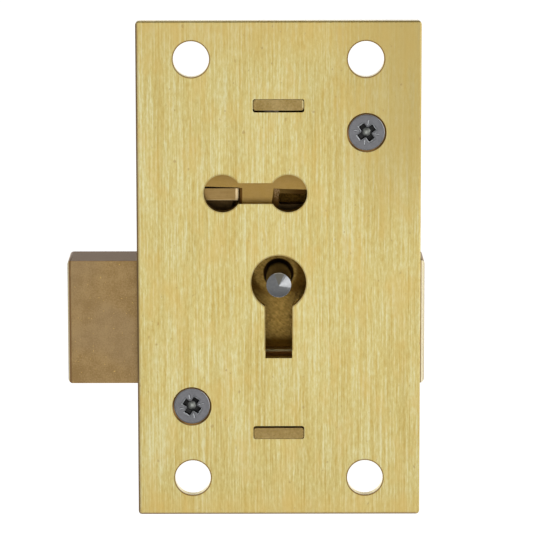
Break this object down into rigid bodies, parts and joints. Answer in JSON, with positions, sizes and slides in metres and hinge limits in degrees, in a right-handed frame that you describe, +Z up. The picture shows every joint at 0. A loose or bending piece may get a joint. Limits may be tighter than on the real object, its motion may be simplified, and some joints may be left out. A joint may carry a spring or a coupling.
{
  "type": "cabinet lock",
  "caption": "Straight cupboard lock: brushed brass plate with keyhole and stump window, cast brass case behind it, a bolt that shoots both ways, spring-loaded levers and a drill pin.",
  "frame": {"origin": "middle of the plate's outer face, which is also the middle of the four fixing holes", "axes": "seen from the key side: +X to the right along the bolt, +Z up along the plate, +Y from the door's side into the lock"},
  "size_m": [0.0459, 0.0133, 0.064],
  "materials": {
    "plate": "brushed lengthwise, clear and slightly pale",
    "case": "sand-cast, matt and grainy",
    "bolt": "cast, reddish, fine grain",
    "stump": "drawn, smooth",
    "lever": "rolled and stamped, smooth",
    "spacer": "turned",
    "pin": "turned, dull",
    "spring": "rolled spring strip",
    "screw": "zinc plated, grey"
  },
  "bodies": {
    "lock_case": {"face_plate": "plate", "case": "case", "drill_pin": "pin", "lever_pivot_pin": "pin", "pivot_spacer": "spacer", "lever_stop_pin": "pin", "cover_screw_upper": "screw", "cover_screw_lower": "screw"},
    "bolt": {"bolt": "bolt", "bolt_stump": "stump"},
    "lever_1": {"lever_1": "lever", "lever_spring_1": "spring"},
    "lever_2": {"lever_2": "lever", "lever_spring_2": "spring"},
    "lever_3": {"lever_3": "lever", "lever_spring_3": "spring"},
    "lever_4": {"lever_4": "lever", "lever_spring_4": "spring"}
  },
  "joints": [
    {"name": "bolt_slide", "type": "slide", "parent": "lock_case", "child": "bolt", "axis": [1, 0, 0], "range_m": [0, 0.0084]},
    {"name": "lever_1_lift", "type": "hinge", "parent": "lock_case", "child": "lever_1", "pos_m": [-0.014, 0, 0.012], "axis": [0, -1, 0], "range_deg": [0, 5], "stiffness_Nm_per_rad": 0.002, "springref_deg": -20.05, "deforming": ["lever_spring_1"]},
    {"name": "lever_2_lift", "type": "hinge", "parent": "lock_case", "child": "lever_2", "pos_m": [-0.014, 0, 0.012], "axis": [0, -1, 0], "range_deg": [0, 5], "stiffness_Nm_per_rad": 0.002, "springref_deg": -20.05, "deforming": ["lever_spring_2"]},
    {"name": "lever_3_lift", "type": "hinge", "parent": "lock_case", "child": "lever_3", "pos_m": [-0.014, 0, 0.012], "axis": [0, -1, 0], "range_deg": [0, 5], "stiffness_Nm_per_rad": 0.002, "springref_deg": -20.05, "deforming": ["lever_spring_3"]},
    {"name": "lever_4_lift", "type": "hinge", "parent": "lock_case", "child": "lever_4", "pos_m": [-0.014, 0, 0.012], "axis": [0, -1, 0], "range_deg": [0, 5], "stiffness_Nm_per_rad": 0.002, "springref_deg": -20.05, "deforming": ["lever_spring_4"]}
  ]
}
